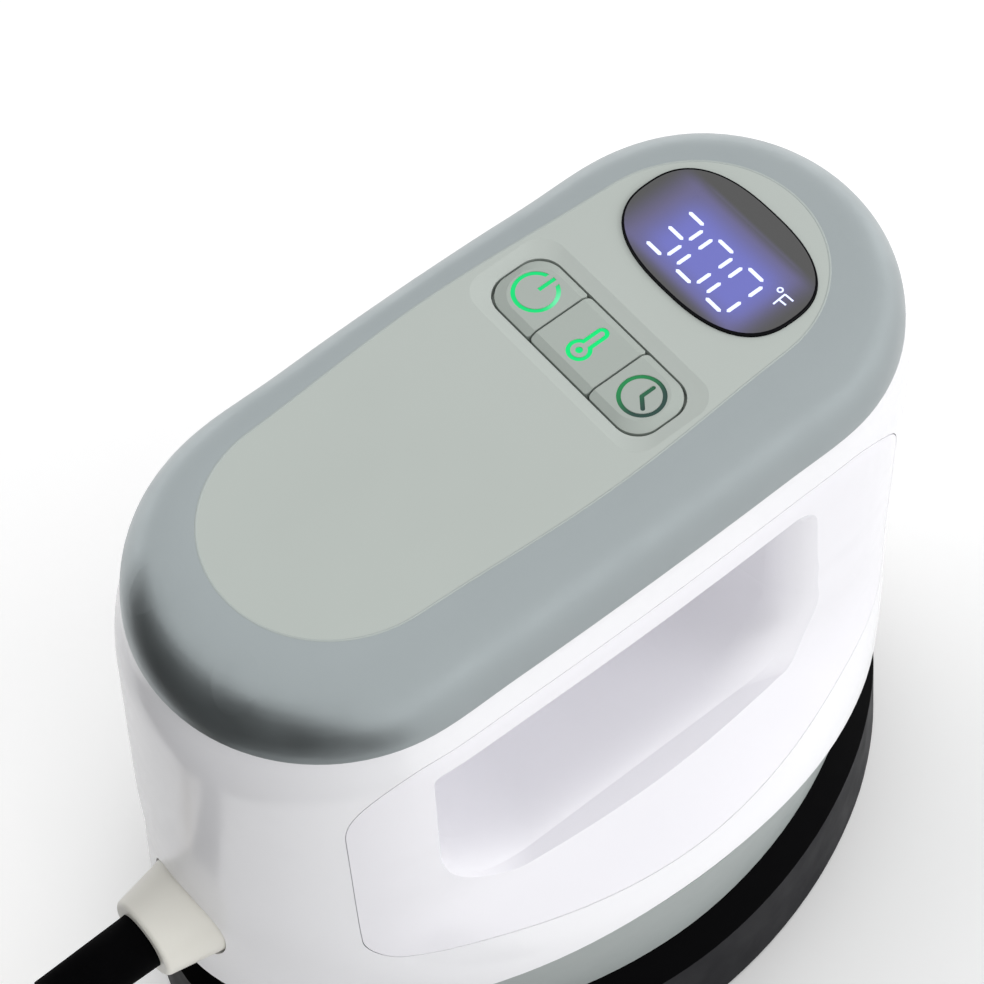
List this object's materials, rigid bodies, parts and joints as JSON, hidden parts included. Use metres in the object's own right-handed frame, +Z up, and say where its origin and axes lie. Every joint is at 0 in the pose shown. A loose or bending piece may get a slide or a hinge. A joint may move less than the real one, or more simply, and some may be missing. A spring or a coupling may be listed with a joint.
{
  "type": "mini handheld heat press",
  "caption": "Mini handheld heat press with a through grip, soft keys and a display on top, a heated plate below, an insulated stand, and a mains cord put away in a coil.",
  "frame": {"origin": "centre of the face that the stand rests on", "axes": "+X to the nose with the display, +Y to the left, +Z up"},
  "size_m": [0.294, 0.0992, 0.1047],
  "materials": {
    "white_shell": "glossy white",
    "liner_white": "glossy white",
    "cap_blue_grey": "satin blue-grey",
    "panel_grey": "fine satin pale grey",
    "key_grey": "fine satin grey",
    "icon_lit": "translucent, lit green",
    "icon_dim": "translucent, half lit",
    "lens_dark": "polished smoked",
    "module_black": "matte black",
    "skirt_grey": "satin grey",
    "stand_black": "deep black",
    "stand_grey": "satin dark grey",
    "rubber_black": "matte",
    "felt": "pressed needle felt",
    "plate_aluminium": "machined, anodised",
    "steel": "zinc plated",
    "ceramic": "unglazed",
    "frame_black": "glass-filled, dull",
    "board_green": "solder mask",
    "part_black": "moulded",
    "lamp_clear": "clear",
    "boss_ivory": "satin warm white",
    "cord_black": "satin PVC",
    "brass": "bright",
    "lead_white": "silicone sleeve",
    "ribbon_grey": "flat cable"
  },
  "bodies": {
    "stand": {"stand_tray": "stand_grey", "stand_rim": "stand_black", "stand_pad": "felt", "stand_grip_pad": "rubber_black", "cord": "cord_black", "cord_coil": "cord_black", "cord_end": "cord_black", "plug_body": "cord_black", "plug_pins": "brass"},
    "press": {"outer_shell": "white_shell", "grip_liner_right": "liner_white", "grip_liner_left": "liner_white", "top_cap": "cap_blue_grey", "cap_screws": "steel", "top_panel": "panel_grey", "display_lens": "lens_dark", "display_module": "module_black", "control_board": "board_green", "board_screws": "steel", "tact_switches": "part_black", "key_lamps": "lamp_clear", "buzzer": "part_black", "tilt_sensor": "part_black", "controller_chip": "part_black", "ribbon_socket": "part_black", "ribbon_cable": "ribbon_grey", "skirt_ring": "skirt_grey", "base_frame": "frame_black", "power_board": "board_green", "power_board_screws": "steel", "heater_relay": "part_black", "filter_capacitor": "part_black", "terminal_block": "part_black", "mains_leads": "lead_white", "heater_leads": "lead_white", "heat_plate": "plate_aluminium", "heating_element": "steel", "element_terminals": "steel", "insulation_blanket": "felt", "heat_shield": "steel", "ceramic_standoffs": "ceramic", "plate_screws": "steel", "thermal_fuse": "steel", "thermistor": "part_black", "sensor_clip": "steel", "cord_socket": "boss_ivory", "strain_relief": "rubber_black", "cord_tail": "cord_black", "cord_clamp": "part_black", "clamp_screws": "steel"},
    "power_button": {"power_key": "key_grey", "power_icon": "icon_lit"},
    "temperature_button": {"temperature_key": "key_grey", "temperature_icon": "icon_lit"},
    "timer_button": {"timer_key": "key_grey", "timer_icon": "icon_dim"}
  },
  "joints": [
    {"name": "stand_lift", "type": "slide", "parent": "stand", "child": "press", "axis": [0, 0, 1], "range_m": [0, 0.06]},
    {"name": "power_press", "type": "slide", "parent": "press", "child": "power_button", "axis": [0, 0, -1], "range_m": [0, 0.0006], "stiffness_N_per_m": 1500},
    {"name": "temperature_press", "type": "slide", "parent": "press", "child": "temperature_button", "axis": [0, 0, -1], "range_m": [0, 0.0006], "stiffness_N_per_m": 1500},
    {"name": "timer_press", "type": "slide", "parent": "press", "child": "timer_button", "axis": [0, 0, -1], "range_m": [0, 0.0006], "stiffness_N_per_m": 1500}
  ]
}
